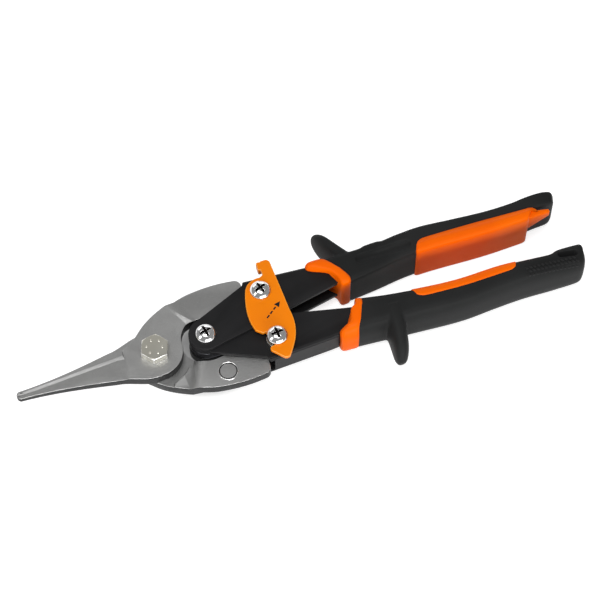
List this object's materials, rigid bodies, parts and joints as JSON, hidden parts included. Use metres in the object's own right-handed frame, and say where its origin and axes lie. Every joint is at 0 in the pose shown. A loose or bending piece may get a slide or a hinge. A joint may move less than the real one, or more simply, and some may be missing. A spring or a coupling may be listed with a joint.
{
  "type": "aviation snips",
  "caption": "Compound-leverage straight-cut hand snips for sheet metal: two forged blades, folded steel handles with two-part grips, a return spring and a swinging latch.",
  "frame": {"origin": "centre of the closed tool's outline, on the plane that it lies on: grips' undersides and the end of the pivot nut", "axes": "+X from the jaws to the handle ends, +Y towards the upper handle with the latch pivot, +Z out of the front face, away from the table"},
  "size_m": [0.247, 0.07, 0.0229],
  "materials": {
    "ground_steel": "satin ground",
    "black_paint": "satin black",
    "chrome_screw": "bright",
    "zinc_hex": "zinc plated",
    "orange_paint": "gloss orange",
    "spring_steel": "oiled",
    "orange_plastic": "smooth matte",
    "black_soft": "soft matte",
    "washer_plastic": "plain"
  },
  "bodies": {
    "lower_handle": {"lower_handle_channel": "black_paint", "lower_grip_core": "orange_plastic", "lower_grip_cover": "black_soft", "catch_screw": "chrome_screw", "catch_sleeve": "zinc_hex", "catch_collar": "zinc_hex", "lower_tail_spacers": "zinc_hex", "handle_pivot_screw": "chrome_screw", "handle_pivot_sleeve": "zinc_hex", "torsion_spring": "spring_steel"},
    "upper_handle": {"upper_handle_channel": "black_paint", "upper_grip_core": "orange_plastic", "upper_grip_cover": "black_soft", "latch_pivot_screw": "chrome_screw", "latch_pivot_sleeve": "zinc_hex", "upper_tail_spacers": "zinc_hex", "latch_washer": "washer_plastic"},
    "rear_blade": {"rear_blade": "ground_steel", "pivot_bolt": "zinc_hex", "pivot_washer": "zinc_hex", "pivot_nut": "zinc_hex"},
    "front_blade": {"front_blade": "ground_steel"},
    "latch": {"latch_plate": "orange_paint"}
  },
  "joints": [
    {"name": "handle_open", "type": "hinge", "parent": "lower_handle", "child": "upper_handle", "pos_m": [-0.0413, 0.001, 0.0105], "axis": [0, 0, 1], "range_deg": [0, 32]},
    {"name": "rear_blade_swing", "type": "hinge", "parent": "lower_handle", "child": "rear_blade", "pos_m": [-0.0135, -0.01025, 0.0105], "axis": [0, 0, 1], "range_deg": [0, 7.53]},
    {"name": "blade_pivot", "type": "hinge", "parent": "rear_blade", "child": "front_blade", "pos_m": [-0.0635, 0.001, 0.0105], "axis": [0, 0, 1], "range_deg": [0, 16.97]},
    {"name": "latch_swing", "type": "hinge", "parent": "upper_handle", "child": "latch", "pos_m": [-0.0135, 0.01225, 0.0105], "axis": [0, 0, 1], "range_deg": [0, 56.01]}
  ],
  "couplings": [
    {"joint": "rear_blade_swing", "follows": "handle_open", "ratio": 0.235},
    {"joint": "blade_pivot", "follows": "handle_open", "ratio": 0.53},
    {"joint": "latch_swing", "follows": "handle_open", "ratio": 1.75}
  ]
}
